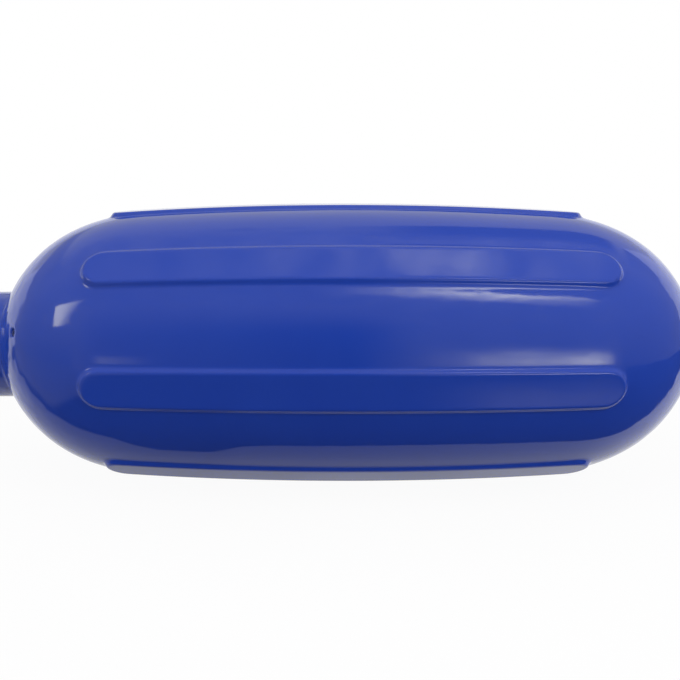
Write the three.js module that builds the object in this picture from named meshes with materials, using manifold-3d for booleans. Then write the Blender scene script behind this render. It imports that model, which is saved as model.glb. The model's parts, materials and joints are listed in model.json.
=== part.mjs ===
// A ribbed boat fender: an inflated PVC cylinder with domed ends, eight rubbing ribs and a rope eye at
// each end. It lies along X with its centre at the origin, and the rope holes run along Y.
import * as THREE from "three";
import { mergeVertices, toCreasedNormals } from "three/addons/utils/BufferGeometryUtils.js";
import Module from "manifold-3d";

const wasm = await Module();
wasm.setup();

// Driving dimensions in millimetres, angles in degrees
// Inflated body
const BODY_LENGTH = 524; // between the domes' apexes, without the eyes
const BODY_DIAMETER = 211.6; // of the skin between the ribs, at mid-length
const BARREL_RADIUS = 2400; // lengthwise bulge of the skin
const DOME_LENGTH = 120; // each end dome
const DOME_SQUARENESS = 2.66; // exponent of the dome's curve along X
const DOME_FULLNESS = 1.84; // exponent of the dome's curve across X

// Ribs
const RIB_COUNT = 8;
const RIB_LENGTH = 344; // tip to tip
const RIB_FACE_WIDTH = 25;
const RIB_FOOT_WIDTH = 30;
const WIDTH_OVER_RIBS = 215; // over two opposite ribs, at mid-length
const RIB_BULGE_RADIUS = 2566; // lengthwise bulge of the ribs, straighter than the skin's towards the domes
const RIB_FLAT_LENGTH = 40; // flat stretch in the middle of each rib's face
const RIB_ROOT_DEPTH = 4; // how far a rib's sides carry on under the skin

// Necks and rope eyes
const EYE_REACH = 83; // from a dome's apex to the eye's tip
const NECK_DIAMETER = 83;
const NECK_ROOT_RADIUS = 6; // hollow fillet between dome and neck
const COLLAR_LENGTH = 12; // round stretch of the neck beyond the dome's apex
const FLARE_LENGTH = 25; // where the round neck flattens into the eye
const EYE_WIDTH = 62;
const EYE_THICKNESS = 34;
const EYE_EDGE_ROUND = 9;
const EYE_SQUARENESS = 3.4; // exponent of the eye's section, 2 is an ellipse
const EYE_TIP_GAP = 1; // between the last plain row of the neck and the eye's round tip
const ROPE_HOLE_DIAMETER = 22;
const ROPE_HOLE_LIP = 3; // rounding of the hole's rims
const EYE_PAD_DIAMETER = 40; // flat raised ring round the rope hole
const EYE_PAD_HEIGHT = 1.5;

// Inflation valve
const VALVE_PLACE = -226; // along X
const VALVE_ANGLE = 22.5; // above the horizontal, on the -Y side
const VALVE_DIAMETER = 4.6;
const VALVE_LENGTH = 6;
const VALVE_SINK = 1; // its head lies this far below the skin
const VALVE_CLEARANCE = 0.2;
const VALVE_MOUTH_CHAMFER = 0.7;
const VALVE_RIM_SHARE = 1 / 3; // how much of its head's ring is taken by the chamfered rim
const NEEDLE_HOLE_DIAMETER = 1.1;
const NEEDLE_HOLE_DEPTH = 3.5;
const NEEDLE_FUNNEL_DIAMETER = 2.2;

// Fineness of the faceted surfaces
const ROUND_SEGMENTS = 48;
const BARREL_STEPS = 5;
const DOME_STEPS = 9;
const ARC_STEPS = 4;
const FLARE_STEPS = 5;
const TIP_STEPS = 7;
const RIB_STEPS = 4;
const HOLE_SEGMENTS = 24;
const VALVE_SEGMENTS = 16;

const bodyHalf = BODY_LENGTH / 2;
const domeStart = bodyHalf - DOME_LENGTH;
const neckRadius = NECK_DIAMETER / 2;
const collarEnd = bodyHalf + COLLAR_LENGTH;
const flareEnd = collarEnd + FLARE_LENGTH;
const eyeTip = bodyHalf + EYE_REACH;
const holeCentre = eyeTip - EYE_WIDTH / 2;

// Smooth step from 0 to 1 with level ends
const ease = (t) => {
  const s = Math.min(Math.max(t, 0), 1);
  return s * s * (3 - 2 * s);
};

// Radius of the skin at a place along X
function skinRadius(x) {
  const across = Math.abs(x);
  const barrel = BODY_DIAMETER / 2 - across ** 2 / (2 * BARREL_RADIUS);
  const along = Math.min(Math.max((across - domeStart) / DOME_LENGTH, 0), 1);
  return barrel * (1 - along ** DOME_SQUARENESS) ** (1 / DOME_FULLNESS);
}

// A place on the dome's curve, turn running from 0 at its start to a quarter turn at its apex
function domePoint(turn) {
  const x = domeStart + DOME_LENGTH * Math.sin(turn) ** (2 / DOME_SQUARENESS);
  return new THREE.Vector2(x, skinRadius(x));
}

// Outward normal of the skin's outline at a place along X
function skinNormal(x) {
  const step = 0.01;
  const slope = (skinRadius(x + step) - skinRadius(x - step)) / (2 * step);
  return new THREE.Vector2(-slope, 1).normalize();
}

// Where the root fillet leaves the dome: its centre lies one fillet outside both the dome and the neck
function rootFillet() {
  let low = 0;
  let high = Math.PI / 2 - 1e-3;
  for (let i = 0; i < 50; i++) {
    const middle = (low + high) / 2;
    const centre = filletCentre(middle);
    if (centre.y > neckRadius + NECK_ROOT_RADIUS) low = middle;
    else high = middle;
  }
  return { turn: low, centre: filletCentre(low) };
}

function filletCentre(turn) {
  const point = domePoint(turn);
  return point.clone().add(skinNormal(point.x).multiplyScalar(NECK_ROOT_RADIUS));
}

// Outline of the right half, from mid-length to the eye's tip: x is along the fender, y is the radius
function halfOutline() {
  const outline = [];
  for (let i = 0; i <= BARREL_STEPS; i++) {
    const x = (domeStart * i) / BARREL_STEPS;
    outline.push(new THREE.Vector2(x, skinRadius(x)));
  }
  const fillet = rootFillet();
  for (let i = 1; i <= DOME_STEPS; i++) outline.push(domePoint((fillet.turn * i) / DOME_STEPS));
  const leave = domePoint(fillet.turn).sub(fillet.centre);
  const startAngle = Math.atan2(leave.y, leave.x);
  const endAngle = -Math.PI / 2;
  for (let i = 1; i <= ARC_STEPS; i++) {
    const angle = startAngle + ((endAngle - startAngle + 2 * Math.PI) % (2 * Math.PI)) * (i / ARC_STEPS);
    outline.push(
      new THREE.Vector2(
        fillet.centre.x + NECK_ROOT_RADIUS * Math.cos(angle),
        fillet.centre.y + NECK_ROOT_RADIUS * Math.sin(angle),
      ),
    );
  }
  for (let i = 0; i <= FLARE_STEPS; i++) {
    outline.push(new THREE.Vector2(collarEnd + (FLARE_LENGTH * i) / FLARE_STEPS, neckRadius));
  }
  const tipStart = Math.max(flareEnd, holeCentre) + EYE_TIP_GAP;
  for (let i = 0; i <= TIP_STEPS; i++) {
    const x = tipStart + (eyeTip - tipStart) * Math.sin((Math.PI / 2) * (i / TIP_STEPS));
    outline.push(new THREE.Vector2(x, i === TIP_STEPS ? 0 : neckRadius));
  }
  return outline;
}

// Half-width, half-thickness and squareness of the neck's section at a place beyond its root
function eyeSection(x) {
  const flare = ease((x - collarEnd) / FLARE_LENGTH);
  const beyondCentre = Math.max(x - holeCentre, 0);
  const roundTip = Math.sqrt(Math.max(1 - (beyondCentre / (EYE_WIDTH / 2)) ** 2, 0));
  const beyondCheek = Math.max(x - (eyeTip - EYE_EDGE_ROUND), 0);
  const roundEdge = Math.sqrt(Math.max(1 - (beyondCheek / EYE_EDGE_ROUND) ** 2, 0));
  const width = THREE.MathUtils.lerp(neckRadius, EYE_WIDTH / 2, flare);
  const thickness = THREE.MathUtils.lerp(neckRadius, EYE_THICKNESS / 2, flare);
  return {
    width: width * roundTip,
    thickness: thickness * roundEdge,
    squareness: THREE.MathUtils.lerp(2, EYE_SQUARENESS, flare),
  };
}

// Turns a geometry into a closed solid, without its collapsed triangles
function solid(geometry) {
  const bare = geometry.clone();
  bare.deleteAttribute("normal");
  bare.deleteAttribute("uv");
  const merged = mergeVertices(bare, 1e-4);
  const corners = merged.index.array;
  const kept = [];
  for (let i = 0; i < corners.length; i += 3) {
    const [a, b, c] = [corners[i], corners[i + 1], corners[i + 2]];
    if (a !== b && b !== c && c !== a) kept.push(a, b, c);
  }
  return new wasm.Manifold(
    new wasm.Mesh({
      numProp: 3,
      vertProperties: merged.attributes.position.array,
      triVerts: new Uint32Array(kept),
    }),
  );
}

function geometryOf(made) {
  const mesh = made.getMesh();
  const geometry = new THREE.BufferGeometry();
  geometry.setAttribute("position", new THREE.BufferAttribute(mesh.vertProperties, 3));
  geometry.setIndex(new THREE.BufferAttribute(mesh.triVerts, 1));
  return toCreasedNormals(geometry, THREE.MathUtils.degToRad(25));
}

// The skin with its necks: a turned outline whose rows past the collar are flattened into the eyes
function skinSolid() {
  const half = halfOutline();
  const mirrored = half.slice(1).map((p) => new THREE.Vector2(-p.x, p.y));
  const outline = [...mirrored.reverse(), ...half];
  const turned = new THREE.LatheGeometry(
    outline.map((p) => new THREE.Vector2(p.y, p.x)),
    ROUND_SEGMENTS,
  );
  turned.rotateZ(-Math.PI / 2);
  const position = turned.attributes.position;
  for (let i = 0; i < position.count; i++) {
    const x = position.getX(i);
    if (Math.abs(x) <= collarEnd) continue;
    const section = eyeSection(Math.abs(x));
    const angle = Math.atan2(position.getZ(i), position.getY(i));
    const power = 2 / section.squareness;
    const across = Math.sign(Math.cos(angle)) * Math.abs(Math.cos(angle)) ** power;
    const up = Math.sign(Math.sin(angle)) * Math.abs(Math.sin(angle)) ** power;
    position.setY(i, section.thickness * across);
    position.setZ(i, section.width * up);
  }
  return solid(turned);
}

// Distance of a rib's face from the fender's axis at a place along X
function ribTop(x) {
  return WIDTH_OVER_RIBS / 2 - x ** 2 / (2 * RIB_BULGE_RADIUS);
}

// One rib on the top of the body: a long pad with round ends, flat across
function ribGeometry() {
  const faceHalf = RIB_FACE_WIDTH / 2;
  const tipCentre = RIB_LENGTH / 2 - faceHalf;
  const stations = [];
  for (let i = 0; i <= ARC_STEPS; i++) stations.push({ at: tipCentre, turn: (Math.PI / 2) * (i / ARC_STEPS) });
  for (let i = 1; i <= RIB_STEPS; i++) {
    const at = THREE.MathUtils.lerp(tipCentre, RIB_FLAT_LENGTH / 2, i / RIB_STEPS);
    stations.push({ at, turn: Math.PI / 2 });
  }
  const count = 2 * stations.length - 1;
  const pad = new THREE.BoxGeometry(2, 2, 2, count, 1, 1);
  const position = pad.attributes.position;
  const footOffset = (RIB_FOOT_WIDTH - RIB_FACE_WIDTH) / 2;
  for (let i = 0; i < position.count; i++) {
    const column = Math.round(((position.getX(i) + 1) / 2) * count);
    const station = stations[Math.min(column, count - column)];
    const end = column < stations.length ? -1 : 1;
    const rim = station.at + faceHalf * Math.cos(station.turn);
    const foot = station.at + (faceHalf + footOffset) * Math.cos(station.turn);
    const footSide = (faceHalf + footOffset) * Math.sin(station.turn);
    const footLevel = Math.sqrt(skinRadius(foot) ** 2 - footSide ** 2);
    const rootShare = 1 + RIB_ROOT_DEPTH / (ribTop(rim) - footLevel);
    const isFace = position.getZ(i) > 0;
    const reach = isFace ? faceHalf : faceHalf + footOffset * rootShare;
    position.setXYZ(
      i,
      end * (station.at + reach * Math.cos(station.turn)),
      position.getY(i) * reach * Math.sin(station.turn),
      isFace ? ribTop(rim) : footLevel - RIB_ROOT_DEPTH,
    );
  }
  return pad;
}

// The flat ring round a rope hole, right through the eye
function eyePadGeometry() {
  const half = EYE_THICKNESS / 2 + EYE_PAD_HEIGHT;
  const radius = EYE_PAD_DIAMETER / 2;
  return new THREE.CylinderGeometry(radius, radius, 2 * half, HOLE_SEGMENTS).translate(holeCentre, 0, 0);
}

// What the rope hole takes away: a pin with flared ends, so that the hole's rims are round
function ropeHoleGeometry() {
  const radius = ROPE_HOLE_DIAMETER / 2;
  const face = EYE_THICKNESS / 2 + EYE_PAD_HEIGHT;
  const past = face + neckRadius;
  const upper = [];
  for (let i = 0; i <= ARC_STEPS; i++) {
    const turn = (Math.PI / 2) * (i / ARC_STEPS);
    const flared = radius + ROPE_HOLE_LIP * (1 - Math.cos(turn));
    upper.push(new THREE.Vector2(flared, face - ROPE_HOLE_LIP * (1 - Math.sin(turn))));
  }
  upper.push(new THREE.Vector2(radius + ROPE_HOLE_LIP, past), new THREE.Vector2(0, past));
  const lower = upper.map((p) => new THREE.Vector2(p.x, -p.y)).reverse();
  return new THREE.LatheGeometry([...lower, ...upper], HOLE_SEGMENTS).translate(holeCentre, 0, 0);
}

// The valve's own frame: +Y points out of the skin, and 0 is on the skin
function valvePlacement() {
  const normal = skinNormal(VALVE_PLACE);
  const around = THREE.MathUtils.degToRad(VALVE_ANGLE);
  const outward = (along, radial) =>
    new THREE.Vector3(along, -radial * Math.cos(around), radial * Math.sin(around));
  const place = new THREE.Object3D();
  place.position.copy(outward(VALVE_PLACE, skinRadius(VALVE_PLACE)));
  place.quaternion.setFromUnitVectors(new THREE.Vector3(0, 1, 0), outward(normal.x, normal.y));
  place.updateMatrix();
  return place;
}

const valveFloor = VALVE_SINK + VALVE_LENGTH + VALVE_CLEARANCE;

// The dimple that holds the valve
function valveDimpleGeometry() {
  const radius = VALVE_DIAMETER / 2 + VALVE_CLEARANCE;
  const mouth = radius + VALVE_MOUTH_CHAMFER;
  const dimple = new THREE.LatheGeometry(
    [
      new THREE.Vector2(0, -valveFloor),
      new THREE.Vector2(radius, -valveFloor),
      new THREE.Vector2(radius, -VALVE_MOUTH_CHAMFER),
      new THREE.Vector2(mouth, 0),
      new THREE.Vector2(mouth, VALVE_DIAMETER),
      new THREE.Vector2(0, VALVE_DIAMETER),
    ],
    VALVE_SEGMENTS,
  );
  return dimple.applyMatrix4(valvePlacement().matrix);
}

// The valve: a rubber plug with a funnel that leads the pump's needle into its hole
function valveGeometry() {
  const radius = VALVE_DIAMETER / 2;
  const needle = NEEDLE_HOLE_DIAMETER / 2;
  const funnel = NEEDLE_FUNNEL_DIAMETER / 2;
  const bottom = -(VALVE_SINK + VALVE_LENGTH);
  const head = -VALVE_SINK;
  const edge = (radius - funnel) * VALVE_RIM_SHARE;
  return new THREE.LatheGeometry(
    [
      new THREE.Vector2(0, bottom),
      new THREE.Vector2(radius, bottom),
      new THREE.Vector2(radius, head - edge),
      new THREE.Vector2(radius - edge, head),
      new THREE.Vector2(funnel, head),
      new THREE.Vector2(needle, head - (funnel - needle)),
      new THREE.Vector2(needle, head - NEEDLE_HOLE_DEPTH),
      new THREE.Vector2(0, head - NEEDLE_HOLE_DEPTH),
    ],
    VALVE_SEGMENTS,
  );
}

// The two ends are alike, so what shapes one eye is turned half round for the other
function bothEnds(geometry) {
  const other = geometry.clone().rotateZ(Math.PI);
  return solid(geometry).add(solid(other));
}

function fenderBodyGeometry() {
  let body = skinSolid();
  for (let i = 0; i < RIB_COUNT; i++) {
    const rib = ribGeometry().rotateX((2 * Math.PI * i) / RIB_COUNT);
    body = body.add(solid(rib));
  }
  body = body.add(bothEnds(eyePadGeometry()));
  body = body.subtract(bothEnds(ropeHoleGeometry()));
  body = body.subtract(solid(valveDimpleGeometry()));
  return geometryOf(body);
}

const glossyBluePvc = new THREE.MeshStandardMaterial({ color: 0x203a9c, roughness: 0.18, metalness: 0 });
const darkRubber = new THREE.MeshStandardMaterial({ color: 0x1c2c6e, roughness: 0.6, metalness: 0 });

const fender = new THREE.Group();

const fenderBody = new THREE.Mesh(fenderBodyGeometry(), glossyBluePvc);
fenderBody.name = "fender_body";
fender.add(fenderBody);

const inflationValve = new THREE.Mesh(valveGeometry(), darkRubber);
inflationValve.name = "inflation_valve";
const valvePlace = valvePlacement();
inflationValve.position.copy(valvePlace.position);
inflationValve.quaternion.copy(valvePlace.quaternion);
fender.add(inflationValve);

export default fender;
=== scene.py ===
import bmesh
import bpy
import json
import math
from mathutils import Matrix, Vector

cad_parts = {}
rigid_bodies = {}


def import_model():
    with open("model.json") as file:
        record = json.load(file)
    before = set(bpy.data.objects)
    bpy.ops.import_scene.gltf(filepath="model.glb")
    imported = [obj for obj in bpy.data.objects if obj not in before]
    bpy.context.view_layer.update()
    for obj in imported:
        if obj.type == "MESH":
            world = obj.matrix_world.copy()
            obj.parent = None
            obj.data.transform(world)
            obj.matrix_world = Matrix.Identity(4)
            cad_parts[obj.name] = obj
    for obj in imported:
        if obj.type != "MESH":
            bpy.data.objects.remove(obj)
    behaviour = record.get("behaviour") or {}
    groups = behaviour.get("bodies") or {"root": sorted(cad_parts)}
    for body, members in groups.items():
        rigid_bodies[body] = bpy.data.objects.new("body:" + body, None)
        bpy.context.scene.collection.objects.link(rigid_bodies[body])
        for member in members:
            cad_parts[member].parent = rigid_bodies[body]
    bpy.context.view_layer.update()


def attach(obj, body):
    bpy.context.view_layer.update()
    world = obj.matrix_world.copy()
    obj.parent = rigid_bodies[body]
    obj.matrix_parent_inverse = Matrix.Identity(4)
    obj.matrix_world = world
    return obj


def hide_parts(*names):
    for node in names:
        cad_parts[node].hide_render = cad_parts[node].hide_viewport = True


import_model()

# The moulded skin
# The fender is one rotomoulded PVC bag, blown up hard: a slightly barrelled cylinder with domed ends
# and eight low rubbing ribs with rounded ends. One eighth is drawn flat, bent round and repeated.

BODY_RADIUS = 0.1058
BARREL_RADIUS = 2.4
BODY_HALF = 0.262
DOME_LENGTH = 0.12
DOME_SQUARENESS = 2.66
DOME_FULLNESS = 1.84
RIBS = 8
RIB_TOP = 0.1075
RIB_TOP_RADIUS = 2.566
RIB_FACE_HALF = 0.0125
RIB_HALF_LENGTH = 0.172
NECK_RADIUS = 0.0415
NECK_ROOT_RADIUS = 0.006
COLLAR_END = 0.269
DOME_START = BODY_HALF - DOME_LENGTH
RIB_TIP_CENTRE = RIB_HALF_LENGTH - RIB_FACE_HALF
PANEL_HALF = BODY_RADIUS * math.pi / RIBS
PANEL_END = RIB_TIP_CENTRE + PANEL_HALF
TIP_CORNERS = 32
STRAIGHT_CUTS = 22

# How far a rib stands out in the flat panel. Bent round, its top takes the rib's own gentle curve.
FLAT_HEIGHT = 0.002
# A rib's section from its middle outwards: distance from the rib's spine and height in the flat panel
RIB_SECTION = (
    (0.0040, FLAT_HEIGHT),
    (0.0080, FLAT_HEIGHT),
    (0.0098, FLAT_HEIGHT),
    (0.0109, FLAT_HEIGHT),
    (0.0121, 0.00188),
    (0.0131, 0.0013),
    (0.0140, 0.0006),
    (0.0150, 0.0002),
    (0.0162, 0.00005),
    (0.0180, 0.0),
)
# Shares of the way from the last round ring to the panel's square edge
SQUARING = (0.22, 0.55, 1.0)
DOME_ROWS = 13
FILLET_ROWS = 3
# Halvings that find a place between two bounds
HALVINGS = 50


def skin_radius(x):
    across = abs(x)
    barrel = BODY_RADIUS - across**2 / (2 * BARREL_RADIUS)
    along = min(max((across - DOME_START) / DOME_LENGTH, 0), 1)
    return barrel * (1 - along**DOME_SQUARENESS) ** (1 / DOME_FULLNESS)


def skin_normal(x):
    step = 1e-5
    slope = (skin_radius(x + step) - skin_radius(x - step)) / (2 * step)
    return Vector((-slope, 1)).normalized()


def dome_x(turn):
    return DOME_START + DOME_LENGTH * math.sin(turn) ** (2 / DOME_SQUARENESS)


def fillet_centre(turn):
    x = dome_x(turn)
    return Vector((x, skin_radius(x))) + skin_normal(x) * NECK_ROOT_RADIUS


def fillet_turn():
    """Where the hollow fillet at the neck's root leaves the dome."""
    low, high = 0, math.pi / 2 - 1e-3
    for _ in range(HALVINGS):
        middle = (low + high) / 2
        if fillet_centre(middle).y > NECK_RADIUS + NECK_ROOT_RADIUS:
            low = middle
        else:
            high = middle
    return low


FILLET_TURN = fillet_turn()
PANEL_TURN = math.asin(((PANEL_END - DOME_START) / DOME_LENGTH) ** (DOME_SQUARENESS / 2))


def end_outline(rows):
    """A point (x, radius) of the outline past the panel: dome, then fillet, then the neck's collar."""
    if rows <= DOME_ROWS:
        x = dome_x(PANEL_TURN + (FILLET_TURN - PANEL_TURN) * rows / DOME_ROWS)
        return x, skin_radius(x)
    centre = fillet_centre(FILLET_TURN)
    x = dome_x(FILLET_TURN)
    start = math.atan2(skin_radius(x) - centre.y, x - centre.x) % (2 * math.pi)
    end = 1.5 * math.pi
    share = min((rows - DOME_ROWS) / FILLET_ROWS, 1)
    angle = start + (end - start) * share
    past = max(rows - DOME_ROWS - FILLET_ROWS, 0)
    x = centre.x + NECK_ROOT_RADIUS * math.cos(angle)
    return x + past * (COLLAR_END - x), centre.y + NECK_ROOT_RADIUS * math.sin(angle)


# The flat panel's rows past its square part, the last of which is the neck's collar
ROW_STEP = 0.006
END_ROWS = DOME_ROWS + FILLET_ROWS + 1
MERGE_DISTANCE = 1e-5
SKIN_SMOOTHING = 1


def bent_round(point):
    """Where a point of the flat panel lies on the fender: x along it, y round it, z out of the skin."""
    if abs(point.x) <= PANEL_END:
        x, radius = point.x, skin_radius(point.x)
    else:
        x, radius = end_outline((abs(point.x) - PANEL_END) / ROW_STEP)
        x = math.copysign(x, point.x)
    angle = point.y / BODY_RADIUS
    flat_face = (RIB_TOP - x**2 / (2 * RIB_TOP_RADIUS)) / math.cos(angle)
    radius += (flat_face - radius) * point.z / FLAT_HEIGHT
    return Vector((x, radius * math.sin(angle), radius * math.cos(angle)))


def new_piece(name):
    """Names the new primitive and opens it in edit mode."""
    piece = bpy.context.object
    piece.name = name
    piece.data.name = name
    bpy.ops.object.mode_set(mode="EDIT")
    return piece


def select_edges(piece, wanted):
    """Selects, in edit mode, the edges whose two ends are both wanted."""
    bpy.ops.mesh.select_mode(type="EDGE")
    mesh = bmesh.from_edit_mesh(piece.data)
    for item in (*mesh.verts, *mesh.edges, *mesh.faces):
        item.select = False
    for edge in mesh.edges:
        if wanted(edge):
            edge.select_set(True)
    bmesh.update_edit_mesh(piece.data)


def apply_modifiers(piece):
    bpy.context.view_layer.objects.active = piece
    for modifier in list(piece.modifiers):
        bpy.ops.object.modifier_apply(modifier=modifier.name)


bpy.ops.object.select_all(action="DESELECT")
bpy.ops.mesh.primitive_circle_add(
    vertices=TIP_CORNERS, radius=RIB_SECTION[0][0], fill_type="TRIFAN", location=(0, 0, FLAT_HEIGHT)
)
bpy.ops.object.transform_apply(location=True)
skin = new_piece("fender_skin")
select_edges(skin, lambda edge: edge.is_boundary)
for (inner, low), (outer, high) in zip(RIB_SECTION, RIB_SECTION[1:]):
    bpy.ops.mesh.extrude_edges_move(TRANSFORM_OT_translate={"value": (0, 0, high - low)})
    scale = outer / inner
    bpy.ops.transform.resize(value=(scale, scale, 1), center_override=(0, 0, 0))


def squared(point, share):
    """A point of the round ring, moved a share of the way to the panel's square edge."""
    corner_turn = 2 * math.pi / TIP_CORNERS
    turn = round(math.atan2(point.y, point.x) / corner_turn) * corner_turn
    quarter = math.pi / 2
    side = round(turn / quarter)
    along = (turn - side * quarter) * 2 / quarter * PANEL_HALF
    on_edge = Matrix.Rotation(side * quarter, 2) @ Vector((PANEL_HALF, along))
    on_ring = Vector((math.cos(turn), math.sin(turn))) * RIB_SECTION[-1][0]
    return on_ring.lerp(on_edge, share)


for share in SQUARING:
    bpy.ops.mesh.extrude_edges_move(TRANSFORM_OT_translate={"value": (0, 0, 0)})
    mesh = bmesh.from_edit_mesh(skin.data)
    for vertex in mesh.verts:
        if vertex.select:
            vertex.co.xy = squared(vertex.co, share)
    bmesh.update_edit_mesh(skin.data)

# The disc is cut across, its halves are moved to the rib's two tips, and the gap is bridged
bpy.ops.mesh.select_mode(type="FACE")
mesh = bmesh.from_edit_mesh(skin.data)
for face in mesh.faces:
    face.select_set(face.calc_center_median().x > 0)
bmesh.update_edit_mesh(skin.data)
bpy.ops.mesh.split()
bpy.ops.transform.translate(value=(RIB_TIP_CENTRE, 0, 0))
bpy.ops.mesh.select_all(action="INVERT")
bpy.ops.transform.translate(value=(-RIB_TIP_CENTRE, 0, 0))


def open_edge_at(x):
    """A test for the open edges that run across the panel at x."""
    return lambda edge: edge.is_boundary and all(abs(v.co.x - x) < MERGE_DISTANCE for v in edge.verts)


at_left, at_right = open_edge_at(-RIB_TIP_CENTRE), open_edge_at(RIB_TIP_CENTRE)
select_edges(skin, lambda edge: at_left(edge) or at_right(edge))
bpy.ops.mesh.bridge_edge_loops(number_cuts=STRAIGHT_CUTS)

# The domes' rows: flat here, they take their curve when the panel is bent round
for end in (-1, 1):
    select_edges(skin, open_edge_at(end * PANEL_END))
    for _ in range(END_ROWS):
        bpy.ops.mesh.extrude_edges_move(TRANSFORM_OT_translate={"value": (end * ROW_STEP, 0, 0)})

bpy.ops.mesh.select_all(action="SELECT")
bpy.ops.mesh.normals_make_consistent(inside=False)
bpy.ops.object.mode_set(mode="OBJECT")
smoothing = skin.modifiers.new("Smooth fillets", "SUBSURF")
smoothing.levels = SKIN_SMOOTHING
smoothing.render_levels = SKIN_SMOOTHING
smoothing.boundary_smooth = "PRESERVE_CORNERS"
apply_modifiers(skin)
for vertex in skin.data.vertices:
    vertex.co = bent_round(vertex.co)

bpy.ops.object.mode_set(mode="EDIT")
bpy.ops.mesh.select_all(action="SELECT")
further_panels = RIBS - 1
bpy.ops.mesh.spin(
    steps=further_panels,
    dupli=True,
    angle=further_panels * 2 * math.pi / RIBS,
    center=(0, 0, 0),
    axis=(1, 0, 0),
)
bpy.ops.mesh.select_all(action="SELECT")
bpy.ops.mesh.remove_doubles(threshold=MERGE_DISTANCE)
bpy.ops.mesh.normals_make_consistent(inside=False)

# The valve's dimple
# A round dimple in the left dome, halfway between two ribs, holds the inflation valve. A pin in the
# mould forms it, so its mouth is softly rounded.

VALVE_X = -0.226
VALVE_TURN = math.radians(22.5)
DIMPLE_CORNERS = 24
# How far from a point the skin is looked for, along the valve's axis
DIMPLE_SEARCH = 0.02
# Rings from the skin inwards: radius, depth, and how round the ring is
DIMPLE_RINGS = (
    (0.0066, 0.0, 0.5),
    (0.0055, 0.0, 0.9),
    (0.0045, 0.0, 1.0),
    (0.0038, 0.0001, 1.0),
    (0.0034, 0.0002, 1.0),
    (0.0030, 0.0005, 1.0),
    (0.0027, 0.0009, 1.0),
    (0.0026, 0.0014, 1.0),
    (0.0025, 0.0030, 1.0),
    (0.0025, 0.0072, 1.0),
)

valve_side = Vector((0, -math.cos(VALVE_TURN), math.sin(VALVE_TURN)))
valve_slope = skin_normal(VALVE_X)
valve_axis = Vector((valve_slope.x, 0, 0)) + valve_side * valve_slope.y
valve_frame = valve_axis.to_track_quat("Z", "Y").to_matrix().to_4x4()
valve_frame.translation = Vector((VALVE_X, 0, 0)) + valve_side * skin_radius(VALVE_X)


def on_dome(point):
    """Moves a point along the valve's axis onto the skin."""
    low, high = -DIMPLE_SEARCH, DIMPLE_SEARCH
    for _ in range(HALVINGS):
        middle = (low + high) / 2
        moved = point + valve_axis * middle
        if math.hypot(moved.y, moved.z) < skin_radius(moved.x):
            low = middle
        else:
            high = middle
    return point + valve_axis * low


bpy.ops.mesh.select_mode(type="VERT")
bpy.ops.mesh.select_all(action="DESELECT")
mesh = bmesh.from_edit_mesh(skin.data)
min(mesh.verts, key=lambda v: (v.co - valve_frame.translation).length).select_set(True)
bmesh.update_edit_mesh(skin.data)
for _ in range(DIMPLE_CORNERS // 8):
    bpy.ops.mesh.select_more()
bpy.ops.mesh.delete(type="FACE")
select_edges(skin, lambda edge: edge.is_boundary and abs(edge.verts[0].co.x) < COLLAR_END - MERGE_DISTANCE)
to_valve = valve_frame.inverted()
for radius, depth, roundness in DIMPLE_RINGS:
    bpy.ops.mesh.extrude_edges_move(TRANSFORM_OT_translate={"value": (0, 0, 0)})
    mesh = bmesh.from_edit_mesh(skin.data)
    turn_of = {v: math.atan2(*reversed((to_valve @ v.co).xy)) for v in mesh.verts if v.select}
    ring = sorted(turn_of, key=turn_of.get)
    step = 2 * math.pi / DIMPLE_CORNERS
    first = sum(turn_of[vertex] - step * place for place, vertex in enumerate(ring)) / len(ring)
    for place, vertex in enumerate(ring):
        turn = first + step * place
        rim = on_dome(valve_frame @ Vector((radius * math.cos(turn), radius * math.sin(turn), 0)))
        vertex.co = vertex.co.lerp(rim - valve_axis * depth, roundness)
        if depth == 0:
            vertex.co = on_dome(vertex.co)
    bmesh.update_edit_mesh(skin.data)
bpy.ops.mesh.edge_face_add()
bpy.ops.object.mode_set(mode="OBJECT")

# The necks and rope eyes
# Each end of the bag runs out into a thick round neck that is pressed flat into an eye for a rope. It
# is moulded in one with the skin, and a raised ring on each cheek stiffens the rope hole's rim.

EYE_COLUMNS = 16
EYE_SMOOTHING = 3
FIT_ROUNDS = 12
EYE_TIP = 0.345
HOLE_CENTRE = 0.314
CHEEK = 0.017
RING_FIELD_RADIUS = 0.022
# Rows from the collar outwards: place, half the thickness, half the width and squareness
EYE_ROWS = (
    (0.2690, 0.0415, 0.0415, 2.0),
    (0.2725, 0.0412, 0.0414, 2.0),
    (0.2765, 0.0388, 0.0404, 2.0),
    (0.2805, 0.0330, 0.0381, 2.1),
    (0.2845, 0.0257, 0.0354, 2.3),
    (0.2885, 0.0198, 0.0331, 2.8),
    (0.2940, 0.0172, 0.0316, 3.2),
    (0.3040, 0.0170, 0.0311, 3.4),
    (0.3140, 0.0170, 0.0310, 3.4),
    (0.3240, 0.0170, 0.0293, 3.4),
    (0.3330, 0.0168, 0.0245, 3.2),
    (0.3405, 0.0148, 0.0161, 2.4),
    (0.3441, 0.0085, 0.0080, 2.0),
)
# The rope hole opens round the middle of this row, so many rows and columns each way
HOLE_ROW = 8
FIELD_REACH = 2
# Rings from the cheek into the rope hole: radius and height from the eye's middle plane
HOLE_RINGS = (
    (0.0203, 0.0170),
    (0.0194, 0.0178),
    (0.0183, 0.0185),
    (0.0163, 0.0185),
    (0.0142, 0.0184),
    (0.0122, 0.0174),
    (0.0111, 0.0154),
    (0.0110, 0.0100),
)


def cheek_column(column):
    """How many columns a corner is from the middle of the nearer cheek."""
    half = EYE_COLUMNS // 2
    return (column + half // 2) % half - half // 2


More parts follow.
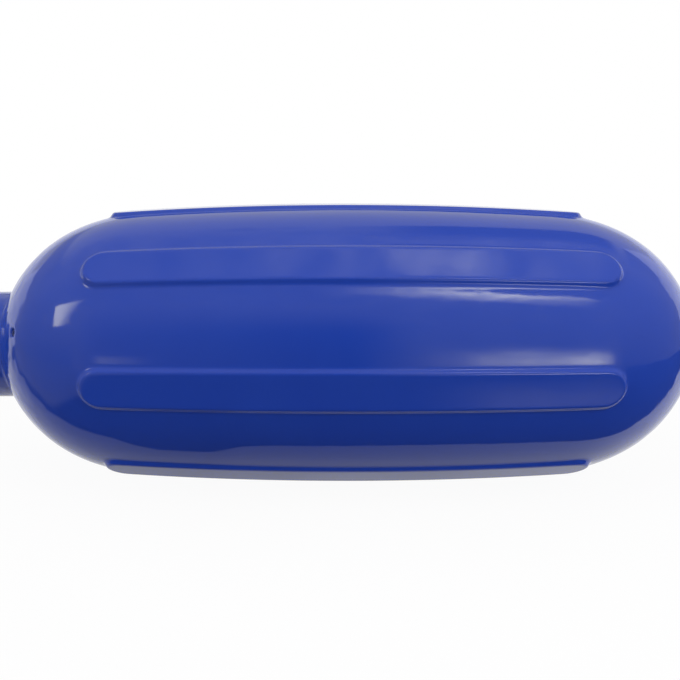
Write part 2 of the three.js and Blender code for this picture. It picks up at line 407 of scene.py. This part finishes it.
def eye_point(row, column):
    """Where a corner of the eye's cage lies before the rope hole is opened."""
    x, thickness, width, squareness = EYE_ROWS[row]
    turn = 2 * math.pi * column / EYE_COLUMNS
    side = math.copysign(1, math.cos(turn))
    across = cheek_column(column)
    along = row - HOLE_ROW
    reach = max(abs(across), abs(along))
    if reach == FIELD_REACH:
        step = 2 * math.pi / EYE_COLUMNS
        if abs(along) == reach:
            ring_turn = across * step if along > 0 else math.pi - across * step
        else:
            ring_turn = math.copysign(1, across) * (math.pi / 2 - along * step)
        round_z = RING_FIELD_RADIUS * math.sin(ring_turn) * side
        return Vector((HOLE_CENTRE + RING_FIELD_RADIUS * math.cos(ring_turn), side * CHEEK, round_z))
    share = math.sin(turn)
    y = thickness * (1 - abs(share) ** squareness) ** (1 / squareness)
    return Vector((x, side * y, width * share))


def ring_in_edit_mode(piece):
    return [vertex for vertex in bmesh.from_edit_mesh(piece.data).verts if vertex.select]


bpy.ops.object.select_all(action="DESELECT")
bpy.ops.mesh.primitive_circle_add(
    vertices=EYE_COLUMNS, radius=NECK_RADIUS, rotation=(0, math.pi / 2, 0), location=(EYE_ROWS[0][0], 0, 0)
)
bpy.ops.object.transform_apply(location=True, rotation=True)
eye = new_piece("right_eye")
mesh = bmesh.from_edit_mesh(eye.data)
row_layer = mesh.verts.layers.int.new("row")
column_layer = mesh.verts.layers.int.new("column")
for vertex in mesh.verts:
    turn = math.atan2(vertex.co.z, vertex.co.y) / (2 * math.pi)
    vertex[column_layer] = round(turn * EYE_COLUMNS) % EYE_COLUMNS
bmesh.update_edit_mesh(eye.data)
bpy.ops.mesh.select_all(action="SELECT")
for row in range(1, len(EYE_ROWS)):
    bpy.ops.mesh.extrude_edges_move(TRANSFORM_OT_translate={"value": (0, 0, 0)})
    mesh = bmesh.from_edit_mesh(eye.data)
    row_layer = mesh.verts.layers.int["row"]
    column_layer = mesh.verts.layers.int["column"]
    for vertex in ring_in_edit_mode(eye):
        vertex[row_layer] = row
        vertex.co = eye_point(row, vertex[column_layer])
    bmesh.update_edit_mesh(eye.data)
bpy.ops.mesh.edge_face_add()
bpy.ops.mesh.select_mode(type="FACE")
bpy.ops.mesh.poke()
mesh = bmesh.from_edit_mesh(eye.data)
row_layer = mesh.verts.layers.int["row"]
column_layer = mesh.verts.layers.int["column"]
max(mesh.verts, key=lambda v: len(v.link_edges)).co = Vector((EYE_TIP, 0, 0))
for face in mesh.faces:
    in_rows = all(abs(v[row_layer] - HOLE_ROW) <= FIELD_REACH for v in face.verts)
    in_columns = all(abs(cheek_column(v[column_layer])) <= FIELD_REACH for v in face.verts)
    face.select_set(in_rows and in_columns)
bmesh.update_edit_mesh(eye.data)
bpy.ops.mesh.delete(type="FACE")
select_edges(eye, lambda edge: edge.is_boundary and edge.verts[0].co.x > EYE_ROWS[1][0])
for radius, height in HOLE_RINGS:
    bpy.ops.mesh.extrude_edges_move(TRANSFORM_OT_translate={"value": (0, 0, 0)})
    for vertex in ring_in_edit_mode(eye):
        spoke = Vector((vertex.co.x - HOLE_CENTRE, 0, vertex.co.z)).normalized() * radius
        vertex.co = Vector((HOLE_CENTRE, math.copysign(height, vertex.co.y), 0)) + spoke
    bmesh.update_edit_mesh(eye.data)
bpy.ops.mesh.bridge_edge_loops()
bpy.ops.mesh.select_all(action="SELECT")
bpy.ops.mesh.normals_make_consistent(inside=False)
bpy.ops.object.mode_set(mode="OBJECT")
rounding = eye.modifiers.new("Rounded PVC", "SUBSURF")
rounding.levels = EYE_SMOOTHING
rounding.render_levels = EYE_SMOOTHING


def fit_cage(piece):
    """Pulls the cage outwards until the rounded surface passes through the cage's first corners."""
    goals = [vertex.co.copy() for vertex in piece.data.vertices]
    for _ in range(FIT_ROUNDS):
        piece.data.update()
        bpy.context.view_layer.update()
        rounded = piece.evaluated_get(bpy.context.evaluated_depsgraph_get()).to_mesh()
        reached = [vertex.co.copy() for vertex in rounded.vertices[: len(goals)]]
        for vertex, goal, now in zip(piece.data.vertices, goals, reached):
            vertex.co += goal - now


fit_cage(eye)
apply_modifiers(eye)

# The neck's open end takes the corners of the skin's collar, so that the two merge
collar_corners = RIBS * TIP_CORNERS // 2
segment = 2 * math.pi / collar_corners
for vertex in eye.data.vertices:
    if abs(vertex.co.x - COLLAR_END) < MERGE_DISTANCE:
        turn = round(math.atan2(vertex.co.z, vertex.co.y) / segment) * segment
        vertex.co = Vector((COLLAR_END, NECK_RADIUS * math.cos(turn), NECK_RADIUS * math.sin(turn)))
bpy.ops.object.select_all(action="DESELECT")
eye.select_set(True)
bpy.ops.object.duplicate()
bpy.ops.transform.rotate(value=math.pi, orient_axis="Z", center_override=(0, 0, 0))
bpy.ops.object.transform_apply(location=True, rotation=True)
skin.select_set(True)
eye.select_set(True)
bpy.context.view_layer.objects.active = skin
bpy.ops.object.join()
bpy.ops.object.mode_set(mode="EDIT")
bpy.ops.mesh.select_all(action="SELECT")
bpy.ops.mesh.remove_doubles(threshold=MERGE_DISTANCE)
bpy.ops.mesh.normals_make_consistent(inside=False)
bpy.ops.object.mode_set(mode="OBJECT")
bpy.ops.object.shade_smooth()

# Glossy plasticised PVC, rotomoulded in a polished mould: a deep royal blue right through, an almost
# mirror-smooth skin with a trace of orange peel, slow ripples from cooling, small puckers where the
# caps draw in, and faint dull scuffs.
PVC_BLUE = "#1B3FAC"
PVC_PALE_BLUE = "#2044B0"
PVC_IOR = 1.53
PVC_SHINE = 0.07
SCUFF_ROUGHNESS = 0.2
# The pattern's levels between which the clean skin turns scuffed
SCUFF_LEVELS = (0.6, 0.78)
# Width of one mark of each pattern, and then how deep the patterns are
CLOUD_WIDTH = 0.05
SCUFF_WIDTH = 0.012
RIPPLE_WIDTH = 0.055
PUCKER_WIDTH = 0.011
PEEL_WIDTH = 0.0016
RIPPLE_HEIGHT = 0.0005
PUCKER_HEIGHT = 0.0006
# Where the puckers of the caps fade out, along the fender, and how much of them the barrel has
PUCKER_FADE = (0.175, 0.255)
BARREL_PUCKER_SHARE = 0.08
PEEL_HEIGHT = 0.000003


def linear(hex_colour):
    """An sRGB hex colour as linear red, green, blue and alpha."""
    shares = [int(hex_colour[start : start + 2], 16) / 255 for start in (1, 3, 5)]
    return (*[s / 12.92 if s <= 0.04045 else ((s + 0.055) / 1.055) ** 2.4 for s in shares], 1)


def add_node(tree, kind, settings, inputs):
    # An input is a value, or the output socket of another node
    node = tree.nodes.new(kind)
    for name, value in settings.items():
        setattr(node, name, value)
    for name, value in inputs.items():
        if isinstance(value, bpy.types.NodeSocket):
            tree.links.new(value, node.inputs[name])
        else:
            node.inputs[name].default_value = value
    return node


def new_material(name):
    material = bpy.data.materials.new(name)
    material.use_nodes = True
    material.node_tree.nodes.clear()
    return material, material.node_tree


def pattern(tree, place, width, detail):
    inputs = {"Vector": place, "Scale": 1 / width, "Detail": detail}
    return add_node(tree, "ShaderNodeTexNoise", {}, inputs).outputs["Fac"]


pvc, tree = new_material("glossy_moulded_pvc")
place = add_node(tree, "ShaderNodeTexCoord", {}, {}).outputs["Object"]
clouds = pattern(tree, place, CLOUD_WIDTH, detail=3)
colour = add_node(
    tree,
    "ShaderNodeMix",
    {"data_type": "RGBA"},
    {0: clouds, 6: linear(PVC_BLUE), 7: linear(PVC_PALE_BLUE)},
).outputs[2]
scuffs = add_node(
    tree,
    "ShaderNodeMapRange",
    {"interpolation_type": "SMOOTHSTEP"},
    {
        "Value": pattern(tree, place, SCUFF_WIDTH, detail=6),
        "From Min": SCUFF_LEVELS[0],
        "From Max": SCUFF_LEVELS[1],
        "To Min": PVC_SHINE,
        "To Max": SCUFF_ROUGHNESS,
    },
).outputs["Result"]
ripples = add_node(
    tree,
    "ShaderNodeBump",
    {},
    {"Height": pattern(tree, place, RIPPLE_WIDTH, detail=0), "Distance": RIPPLE_HEIGHT},
).outputs["Normal"]
along = add_node(tree, "ShaderNodeSeparateXYZ", {}, {"Vector": place}).outputs["X"]
from_middle = add_node(tree, "ShaderNodeMath", {"operation": "ABSOLUTE"}, {0: along}).outputs["Value"]
puckering = add_node(
    tree,
    "ShaderNodeMapRange",
    {"interpolation_type": "SMOOTHSTEP"},
    {
        "Value": from_middle,
        "From Min": PUCKER_FADE[0],
        "From Max": PUCKER_FADE[1],
        "To Min": BARREL_PUCKER_SHARE,
        "To Max": 1.0,
    },
).outputs["Result"]
puckers = add_node(
    tree,
    "ShaderNodeBump",
    {},
    {
        "Height": pattern(tree, place, PUCKER_WIDTH, detail=1),
        "Distance": PUCKER_HEIGHT,
        "Strength": puckering,
        "Normal": ripples,
    },
).outputs["Normal"]
peel = add_node(
    tree,
    "ShaderNodeBump",
    {},
    {
        "Height": pattern(tree, place, PEEL_WIDTH, detail=1),
        "Distance": PEEL_HEIGHT,
        "Normal": puckers,
    },
).outputs["Normal"]
plastic = add_node(
    tree,
    "ShaderNodeBsdfPrincipled",
    {},
    {"Base Color": colour, "Roughness": scuffs, "IOR": PVC_IOR, "Normal": peel},
)
add_node(tree, "ShaderNodeOutputMaterial", {}, {"Surface": plastic.outputs["BSDF"]})
skin.data.materials.clear()
skin.data.materials.append(pvc)

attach(skin, "root")
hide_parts("fender_body")

# The inflation valve
# A soft rubber plug pressed into the dimple. The pump's needle goes through its funnel, and the rubber
# closes behind it. It is moulded, with a rounded rim.

VALVE_CORNERS = 48
VALVE_SMOOTH_TURN = math.radians(50)
# Rings from the plug's foot to its rim and down the needle's hole: radius and depth under the skin
VALVE_RINGS = (
    (0.0020, 0.0070),
    (0.0023, 0.0067),
    (0.0023, 0.0013),
    (0.00225, 0.00114),
    (0.0021, 0.00103),
    (0.0019, 0.0010),
    (0.0013, 0.0010),
    (0.0012, 0.00104),
    (0.00107, 0.00118),
    (0.0006, 0.0017),
    (0.00055, 0.0019),
    (0.00055, 0.0045),
)

bpy.ops.object.select_all(action="DESELECT")
bpy.ops.mesh.primitive_circle_add(
    vertices=VALVE_CORNERS, radius=VALVE_RINGS[0][0], fill_type="NGON", location=(0, 0, -VALVE_RINGS[0][1])
)
bpy.ops.object.transform_apply(location=True)
valve = new_piece("needle_valve")
select_edges(valve, lambda edge: edge.is_boundary)
for (inner, low), (outer, high) in zip(VALVE_RINGS, VALVE_RINGS[1:]):
    bpy.ops.mesh.extrude_edges_move(TRANSFORM_OT_translate={"value": (0, 0, low - high)})
    bpy.ops.transform.resize(value=(outer / inner, outer / inner, 1), center_override=(0, 0, 0))
bpy.ops.mesh.edge_face_add()
bpy.ops.mesh.select_all(action="SELECT")
bpy.ops.mesh.normals_make_consistent(inside=False)
bpy.ops.object.mode_set(mode="OBJECT")
bpy.ops.object.shade_smooth_by_angle(angle=VALVE_SMOOTH_TURN)
valve.matrix_world = valve_frame
bpy.ops.object.transform_apply(location=True, rotation=True)

# Soft dark blue rubber, matt from the mould, with a fine grain
RUBBER_BLUE = "#1C2C6E"
RUBBER_ROUGHNESS = 0.55
RUBBER_IOR = 1.52
RUBBER_GRAIN_WIDTH = 0.0004
RUBBER_GRAIN_HEIGHT = 0.00002

rubber, tree = new_material("moulded_valve_rubber")
place = add_node(tree, "ShaderNodeTexCoord", {}, {}).outputs["Object"]
grain = pattern(tree, place, RUBBER_GRAIN_WIDTH, detail=2)
grained = add_node(
    tree, "ShaderNodeBump", {}, {"Height": grain, "Distance": RUBBER_GRAIN_HEIGHT}
).outputs["Normal"]
soft = add_node(
    tree,
    "ShaderNodeBsdfPrincipled",
    {},
    {
        "Base Color": linear(RUBBER_BLUE),
        "Roughness": RUBBER_ROUGHNESS,
        "IOR": RUBBER_IOR,
        "Normal": grained,
    },
)
add_node(tree, "ShaderNodeOutputMaterial", {}, {"Surface": soft.outputs["BSDF"]})
valve.data.materials.append(rubber)

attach(valve, "root")
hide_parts("inflation_valve")

# The floor
# A plain white floor. It shows as plain white away from the fender and keeps a soft part of its shadow.

FLOOR_LEVEL = -0.10745
FLOOR_HALF = 12
# How much of the shadow shows, and how far from the fender's middle it fades out
SHADOW_SHARE = 0.05
SHADOW_REACH = (0.35, 1.0)
# How pale the paper is to bounced light, and to the eye
BOUNCE_SHADE = 0.38
SEEN_SHADE = 0.92

bpy.ops.object.select_all(action="DESELECT")
bpy.ops.mesh.primitive_plane_add(size=2 * FLOOR_HALF, location=(0, 0, FLOOR_LEVEL))
bpy.ops.object.transform_apply(location=True)
floor = bpy.context.object
floor.name = "floor"
white, tree = new_material("white_floor")
place = add_node(tree, "ShaderNodeTexCoord", {}, {}).outputs["Object"]
away = add_node(tree, "ShaderNodeVectorMath", {"operation": "LENGTH"}, {0: place}).outputs["Value"]
near = add_node(
    tree,
    "ShaderNodeMapRange",
    {"interpolation_type": "SMOOTHSTEP"},
    {
        "Value": away,
        "From Min": SHADOW_REACH[0],
        "From Max": SHADOW_REACH[1],
        "To Min": 1 - SHADOW_SHARE,
        "To Max": 1.0,
    },
).outputs["Result"]


def seen_plainly(tree):
    """1 where the camera, a reflection or a clear material looks, and 0 where light only bounces."""
    path = add_node(tree, "ShaderNodeLightPath", {}, {}).outputs
    larger = {"operation": "MAXIMUM"}
    inputs = {0: path["Is Camera Ray"], 1: path["Is Glossy Ray"]}
    straight = add_node(tree, "ShaderNodeMath", larger, inputs).outputs["Value"]
    inputs = {0: straight, 1: path["Is Transmission Ray"]}
    return add_node(tree, "ShaderNodeMath", larger, inputs).outputs["Value"]


seen = seen_plainly(tree)
share = add_node(tree, "ShaderNodeMath", {"operation": "MULTIPLY"}, {0: seen, 1: near}).outputs["Value"]
shade = add_node(
    tree, "ShaderNodeMapRange", {}, {"Value": seen, "To Min": BOUNCE_SHADE, "To Max": SEEN_SHADE}
).outputs["Result"]
paper = add_node(tree, "ShaderNodeBsdfDiffuse", {}, {"Color": shade}).outputs["BSDF"]
glow = add_node(tree, "ShaderNodeEmission", {}, {"Color": (1, 1, 1, 1), "Strength": 1}).outputs["Emission"]
mixed = add_node(tree, "ShaderNodeMixShader", {}, {0: share, 1: paper, 2: glow}).outputs["Shader"]
add_node(tree, "ShaderNodeOutputMaterial", {}, {"Surface": mixed})
floor.data.materials.append(white)

# The studio
# White all round, a soft ceiling light, and in front a darker room whose walls, window and lamps are
# what the gloss shows. The cards stand for them, and are seen in reflections alone. One black card
# is painted shade: it paints the fender's shade on the paper's near edge.

ROOM_LEVEL = 0.12
world = bpy.data.worlds.new("studio")
bpy.context.scene.world = world
world.use_nodes = True
tree = world.node_tree
tree.nodes.clear()
level = add_node(
    tree, "ShaderNodeMapRange", {}, {"Value": seen_plainly(tree), "To Min": ROOM_LEVEL, "To Max": 1.0}
).outputs["Result"]
sky = add_node(tree, "ShaderNodeBackground", {}, {"Color": (1, 1, 1, 1), "Strength": level})
add_node(tree, "ShaderNodeOutputWorld", {}, {"Surface": sky.outputs["Background"]})

# Soft lamps: centre, aim, width, height and how bright they look, where 1 is white
SOFT_LAMPS = {
    "ceiling_softbox": ((0, -0.05, 0.95), (0, -0.05, 0), 2.4, 1.15, 1.0),
    "front_softbox": ((0.55, -0.8, 0.8), (0.15, 0, 0), 0.9, 0.5, 3.1),
    "left_softbox": ((-1.0, -0.55, 0.45), (-0.1, 0, 0), 0.5, 0.6, 4.5),
    "right_softbox": ((0.95, -0.5, 0.35), (0.2, 0, 0), 0.5, 0.6, 3.2),
}
for name, (centre, aim, width, height, brightness) in SOFT_LAMPS.items():
    lamp_data = bpy.data.lights.new(name, "AREA")
    lamp_data.shape = "RECTANGLE"
    lamp_data.size = width
    lamp_data.size_y = height
    lamp_data.energy = brightness * math.pi * width * height
    lamp = bpy.data.objects.new(name, lamp_data)
    bpy.context.scene.collection.objects.link(lamp)
    lamp.location = centre
    lamp.rotation_euler = (Vector(aim) - Vector(centre)).to_track_quat("-Z", "Y").to_euler()
    lamp.visible_glossy = False
    lamp.visible_camera = False

# The room: its side walls, front wall, ceiling and ground, and the step from a card to the one before it
WALL = 1.6
FRONT = -1.4
CEILING = 1.25
GROUND = FLOOR_LEVEL + 0.001
LAYER = 0.01
CARD_COLUMNS = 60
CARD_ROWS = 4
# Uneven light: how wide a blotch is, and the pattern's levels from its dark to its bright
BLOTCH_WIDTH = 0.12
BLOTCH_LEVELS = (0.35, 0.65)
WARM_WHITE = "#FFFBD6"


def on_ground(layer, *places):
    return [(x, y, GROUND + layer * LAYER / 10) for x, y in places]


def on_ceiling(layer, *places):
    return [(x, y, CEILING - layer * LAYER) for x, y in places]


def on_front(layer, *places):
    return [(x, FRONT + layer * LAYER, z) for x, z in places]


def on_side(x, *places):
    return [(x, y, z) for y, z in places]


# Where the white paper under the fender ends, towards the camera
PAPER_EDGE = (
    (-1.6, 0.30), (-1.18, 0.19), (-0.628, 0.005), (-0.452, -0.074), (-0.30, -0.104), (-0.2, -0.116),
    (-0.15, -0.098), (-0.105, -0.099), (-0.08, -0.114), (0.0, -0.120), (0.094, -0.118), (0.17, -0.113),
    (0.209, -0.105), (0.256, -0.095), (0.305, -0.086), (0.34, -0.079), (0.396, -0.064), (0.562, -0.002),
    (1.1, 0.19), (1.6, 0.30),
)
# A black card, seen in reflections alone, paints the fender's shade on the paper's near edge, in a strip
# that widens away from its middle
PAINTED_SHADE_EDGE = PAPER_EDGE[:16]
PAINTED_SHADE_BACK = [(x, 0.02 + abs(x) * 0.3) for x, y in PAINTED_SHADE_EDGE]
# Where the ceiling turns brighter, beyond the fender
CEILING_EDGE = ((-WALL, 0.66), (-0.6, 0.71), (0.06, 0.72), (0.55, 0.85), (1.07, 1.0), (WALL, 0.9))
# Each card: two opposite edges, how bright it looks along each of them, how soft it is at the start and
# the end of the edges and at the first and the second edge, and how blotchy it is
CARDS = {
    "room_floor": (
        on_ground(0, (-2.5, -2), (2.5, -2)), on_ground(0, *PAPER_EDGE), (0.2, 0.07), (0, 0, 0, 0), 0,
    ),
    # Painted shade: a black card over the paper's near edge, where the fender's shade falls, seen in
    # reflections alone
    "painted_paper_shade": (
        on_ground(1, *[(x, y - 0.001) for x, y in PAINTED_SHADE_EDGE]),
        on_ground(1, *PAINTED_SHADE_BACK),
        (0, 0), (0, 0.5, 0, 1.9), 0,
    ),
    "room_floor_left": (
        on_ground(1, (-0.40, -2), (-WALL, -2)),
        on_ground(1, (-0.31, -0.104), (-0.452, -0.076), (-0.628, 0.003), (-WALL, 0.298)),
        (0.4, 0.33), (0.1, 0, 0, 0.02), 0,
    ),
    "lit_floor": (
        on_ground(2, (0.08, -0.42), (0.45, -0.42)), on_ground(2, (0.08, -0.23), (0.45, -0.23)),
        (0.8, 0.8), (0.5, 0.5, 0.5, 0.5), 0.3,
    ),
    "left_wall": (
        on_side(-WALL, (FRONT, GROUND), (0.24, GROUND)),
        on_side(-WALL, (FRONT, CEILING), (0.30, CEILING)),
        (0.3, 0.6), (0, 0, 0, 0), 0,
    ),
    "left_wall_back": (
        on_side(
            -WALL, (0.28, GROUND), (0.45, 0.39), (0.62, 0.58), (1.0, 0.78), (1.9, 0.98), (2.6, CEILING)
        ),
        on_side(
            -WALL, (0.2, GROUND), (0.2, 0.39), (0.2, 0.58), (0.2, 0.78), (0.2, 0.98), (0.2, CEILING)
        ),
        (0.4, 0.45), (0, 0, 0, 0), 0,
    ),
    "right_wall": (
        on_side(WALL, (FRONT, GROUND), (0.30, GROUND), (0.30, GROUND)),
        on_side(WALL, (FRONT, CEILING), (0.36, CEILING), (0.36, CEILING)),
        (0.3, 0.55), (0, 0, 0, 0), 0,
    ),
    "right_wall_back": (
        on_side(WALL, (0.30, GROUND), (0.43, 0.39), (0.46, 0.61), (0.66, 0.86), (0.9, CEILING)),
        on_side(WALL, (0.25, GROUND), (0.25, 0.3), (0.25, 0.6), (0.25, 0.9), (0.25, CEILING)),
        (0.35, 0.45), (0, 0, 0, 0), 0,
    ),
    "ceiling": (
        on_ceiling(0, (-WALL, FRONT), (WALL, FRONT)), on_ceiling(0, *CEILING_EDGE),
        (0.55, 0.6), (0, 0, 0, 0), 0.15,
    ),
    "ceiling_beyond": (
        on_ceiling(0, *CEILING_EDGE), on_ceiling(0, (-4, 3), (4, 3)), (0.68, 0.8), (0, 0, 0, 0), 0,
    ),
    "ceiling_light": (
        on_ceiling(1, (-0.7, -0.7), (1.2, -0.7)), on_ceiling(1, (-0.7, 0.5), (1.2, 0.5)),
        (1.0, 0.9), (0.5, 0.4, 0.45, 0.45), 0.3,
    ),
    "ceiling_lamp": (
        on_ceiling(2, (0.14, -0.28), (0.64, -0.37)), on_ceiling(2, (0.14, -0.09), (0.64, -0.18)),
        (1.9, 1.9), (0.4, 0.5, 0.5, 0.5), 0.4,
    ),
    "ceiling_dark_end": (
        on_ceiling(2, (0.0, 0.3), (1.5, 0.3)), on_ceiling(2, (0.0, 0.70), (1.5, 0.98)),
        (0.3, 0.2), (0.3, 0.2, 0.5, 0), 0,
    ),
    "ceiling_strip": (
        on_ceiling(3, (-0.05, -0.80), (0.45, -0.82), (0.75, -0.87), (1.35, -0.92)),
        on_ceiling(3, (-0.05, -1.0), (0.45, -1.08), (0.75, -1.13), (1.35, -1.30)),
        (7, 7), (0.6, 0.45, 0, 1.0), 0.4,
    ),
    "front_wall": (
        on_front(0, (-WALL, GROUND), (-WALL, CEILING)), on_front(0, (0.4, GROUND), (0.4, CEILING)),
        (0.5, 0.0), (0, 0, 0, 0), 0,
    ),
    "front_wall_top": (
        on_front(1, (-WALL, 0.55), (0.3, 0.55)), on_front(1, (-WALL, CEILING), (0.3, CEILING)),
        (0.5, 0.5), (0, 0, 1.0, 0), 0,
    ),
    "front_wall_right": (
        on_front(2, (0.06, GROUND), (0.06, CEILING)), on_front(2, (WALL, GROUND), (WALL, CEILING)),
        (0.5, 0.55), (0, 0, 0.22, 0), 0.1,
    ),
    "low_window": (
        on_front(3, (0.3, 0.0), (1.5, -0.02)), on_front(3, (0.3, 0.44), (1.5, 0.38)),
        (6.5, 3.5), (0.5, 0.35, 0, 1.0), 0.2,
    ),
    "low_left_light": (
        on_front(3, (-1.15, 0.01), (-0.6, 0.01)), on_front(3, (-1.15, 0.22), (-0.6, 0.22)),
        (1.0, 1.0), (0.4, 0.4, 0.3, 0.5), 0.2,
    ),
    "left_window": (
        on_side(-1.0, (-0.466, 0.343), (-0.322, 0.506)), on_side(-1.0, (-0.640, 0.425), (-0.671, 0.983)),
        (5.8, 5.8), (0, 0, 0, 0.9), 0,
    ),
}


def along_edge(edge, share):
    """The point a share of the way along a broken line."""
    place = share * (len(edge) - 1)
    start = min(int(place), len(edge) - 2)
    return Vector(edge[start]).lerp(Vector(edge[start + 1]), place - start)


def soft_step(tree, value, start, end):
    settings = {"interpolation_type": "SMOOTHSTEP"}
    inputs = {"Value": value, "From Min": start, "From Max": end}
    return add_node(tree, "ShaderNodeMapRange", settings, inputs).outputs["Result"]


def times(tree, one, other):
    return add_node(tree, "ShaderNodeMath", {"operation": "MULTIPLY"}, {0: one, 1: other}).outputs["Value"]


for name, (first, second, levels, softness, blotches) in CARDS.items():
    bpy.ops.object.select_all(action="DESELECT")
    bpy.ops.mesh.primitive_grid_add(x_subdivisions=CARD_COLUMNS, y_subdivisions=CARD_ROWS, size=2)
    card = bpy.context.object
    card.name = name
    for vertex in card.data.vertices:
        share = (vertex.co.x + 1) / 2
        vertex.co = along_edge(first, share).lerp(along_edge(second, share), (vertex.co.y + 1) / 2)
    material, tree = new_material(name)
    coordinates = add_node(tree, "ShaderNodeTexCoord", {}, {}).outputs
    spot = add_node(tree, "ShaderNodeSeparateXYZ", {}, {"Vector": coordinates["UV"]}).outputs
    mask = 1
    for value, start, soft in zip((spot["X"], spot["X"], spot["Y"], spot["Y"]), (0, 1, 0, 1), softness):
        if soft:
            mask = times(tree, mask, soft_step(tree, value, start, start + soft * (1 - 2 * start)))
    inputs = {"Value": spot["Y"], "To Min": levels[0], "To Max": levels[1]}
    glow = add_node(tree, "ShaderNodeMapRange", {}, inputs).outputs["Result"]
    if blotches:
        inputs = {
            "Value": pattern(tree, coordinates["Object"], BLOTCH_WIDTH, detail=2),
            "From Min": BLOTCH_LEVELS[0],
            "From Max": BLOTCH_LEVELS[1],
            "To Min": 1 - blotches,
            "To Max": 1 + blotches,
        }
        glow = times(tree, glow, add_node(tree, "ShaderNodeMapRange", {}, inputs).outputs["Result"])
    lit = add_node(tree, "ShaderNodeEmission", {}, {"Color": linear(WARM_WHITE), "Strength": glow})
    clear = add_node(tree, "ShaderNodeBsdfTransparent", {}, {})
    inputs = {0: mask, 1: clear.outputs["BSDF"], 2: lit.outputs["Emission"]}
    surface = add_node(tree, "ShaderNodeMixShader", {}, inputs).outputs["Shader"]
    add_node(tree, "ShaderNodeOutputMaterial", {}, {"Surface": surface})
    card.data.materials.append(material)
    card.visible_camera = False
    card.visible_diffuse = False
    card.visible_shadow = False
    card.visible_transmission = False

# The camera
# It looks down on the fender from close by, a little left of its middle, as the photographer's did.

camera_data = bpy.data.cameras.new("camera")
camera_data.sensor_width = 36
camera_data.lens = 30.28
camera_data.shift_x = 0.0452
camera_data.shift_y = 0.038
camera = bpy.data.objects.new("camera", camera_data)
camera.location = (-0.02706, -0.43735, 0.1283)
camera.rotation_euler = (math.radians(71.48), 0, 0)
bpy.context.scene.collection.objects.link(camera)
bpy.context.scene.camera = camera
bpy.context.scene.view_settings.view_transform = "Standard"
